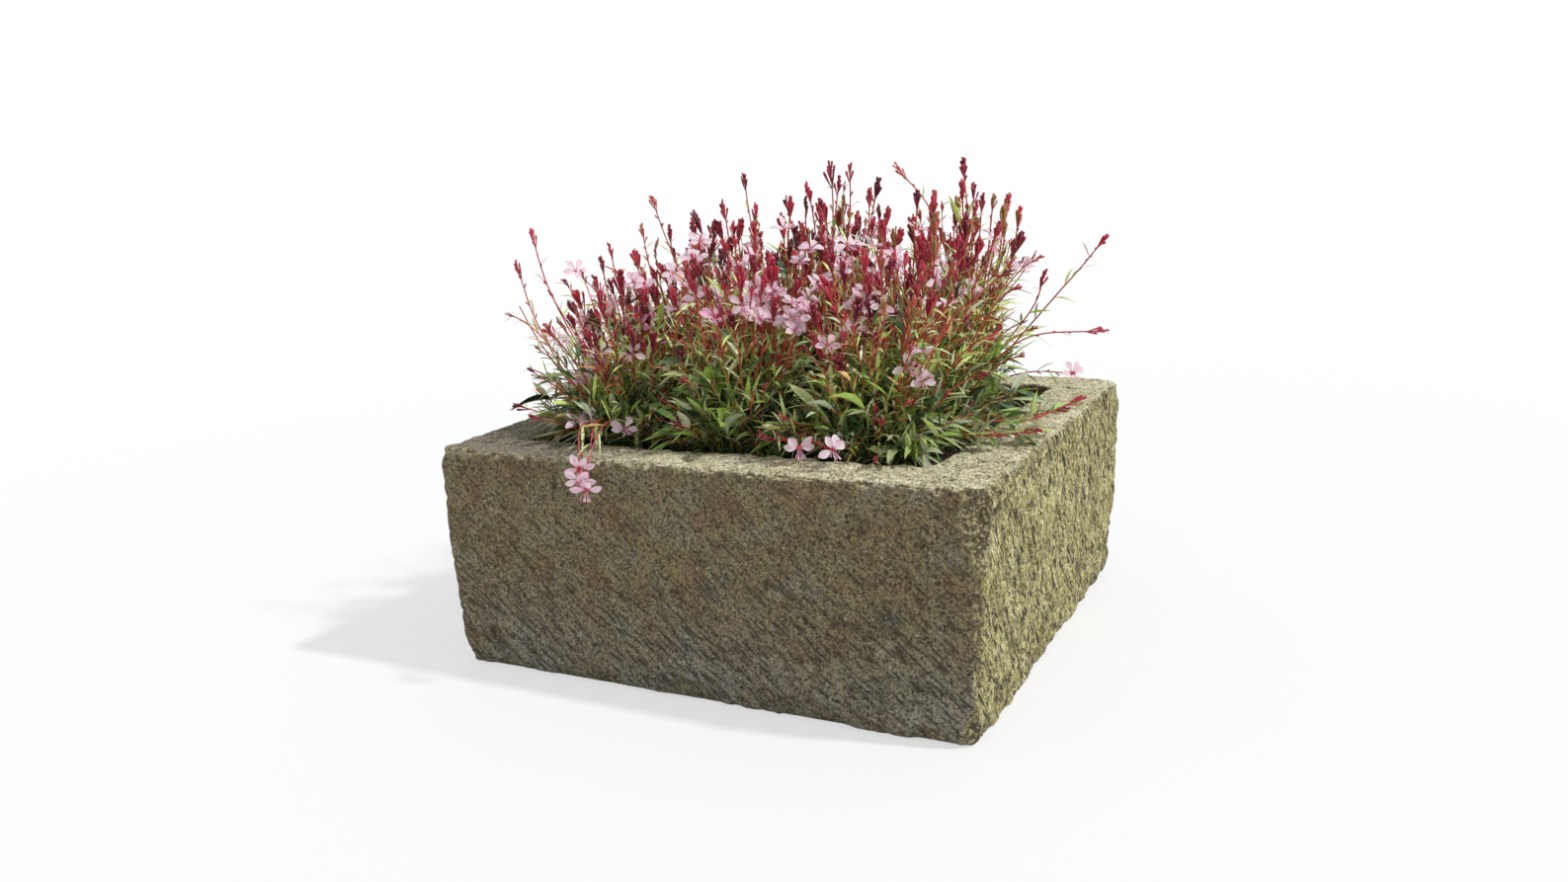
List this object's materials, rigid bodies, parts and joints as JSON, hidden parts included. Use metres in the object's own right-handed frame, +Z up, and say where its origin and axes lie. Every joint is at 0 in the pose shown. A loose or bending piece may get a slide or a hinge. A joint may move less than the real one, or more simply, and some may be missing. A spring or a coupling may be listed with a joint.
{
  "type": "stone trough planter",
  "caption": "Square-cut block of rough sandstone hollowed into a low planter, with drain holes, gravel, fleece and soil, planted with pink gaura in flower.",
  "frame": {"origin": "on the ground under the middle of the stone block, as measured across its rim", "axes": "+X along the block's length, +Y from its front face to its back, +Z up out of the hollow"},
  "size_m": [0.7413, 0.6381, 0.5925],
  "materials": {
    "sandstone": "coarse weathered sandstone with pick marks and yellow-green lichen",
    "terracotta": "unglazed broken pot clay",
    "gravel": "washed rounded pea gravel",
    "fleece": "needle-punched filter fleece",
    "compost": "dark moist potting compost with bark crumbs",
    "gaura_leaf": "living leaf, satin, mid green",
    "gaura_stem": "living stem, satin, green at its foot and red-brown above",
    "gaura_bud": "living bud, satin, crimson",
    "gaura_petal": "living petal, soft, pale to deep pink"
  },
  "bodies": {
    "root": {"stone_trough": "sandstone", "crock_left": "terracotta", "crock_right": "terracotta", "drainage_gravel": "gravel", "filter_fleece": "fleece", "potting_soil": "compost", "gaura_front_left": "gaura_leaf", "gaura_front_centre": "gaura_leaf", "gaura_front_right": "gaura_leaf", "gaura_middle_left": "gaura_leaf", "gaura_middle_centre": "gaura_leaf", "gaura_middle_right": "gaura_leaf", "gaura_back_left": "gaura_leaf", "gaura_back_centre": "gaura_leaf", "gaura_back_right": "gaura_leaf"}
  },
  "joints": []
}
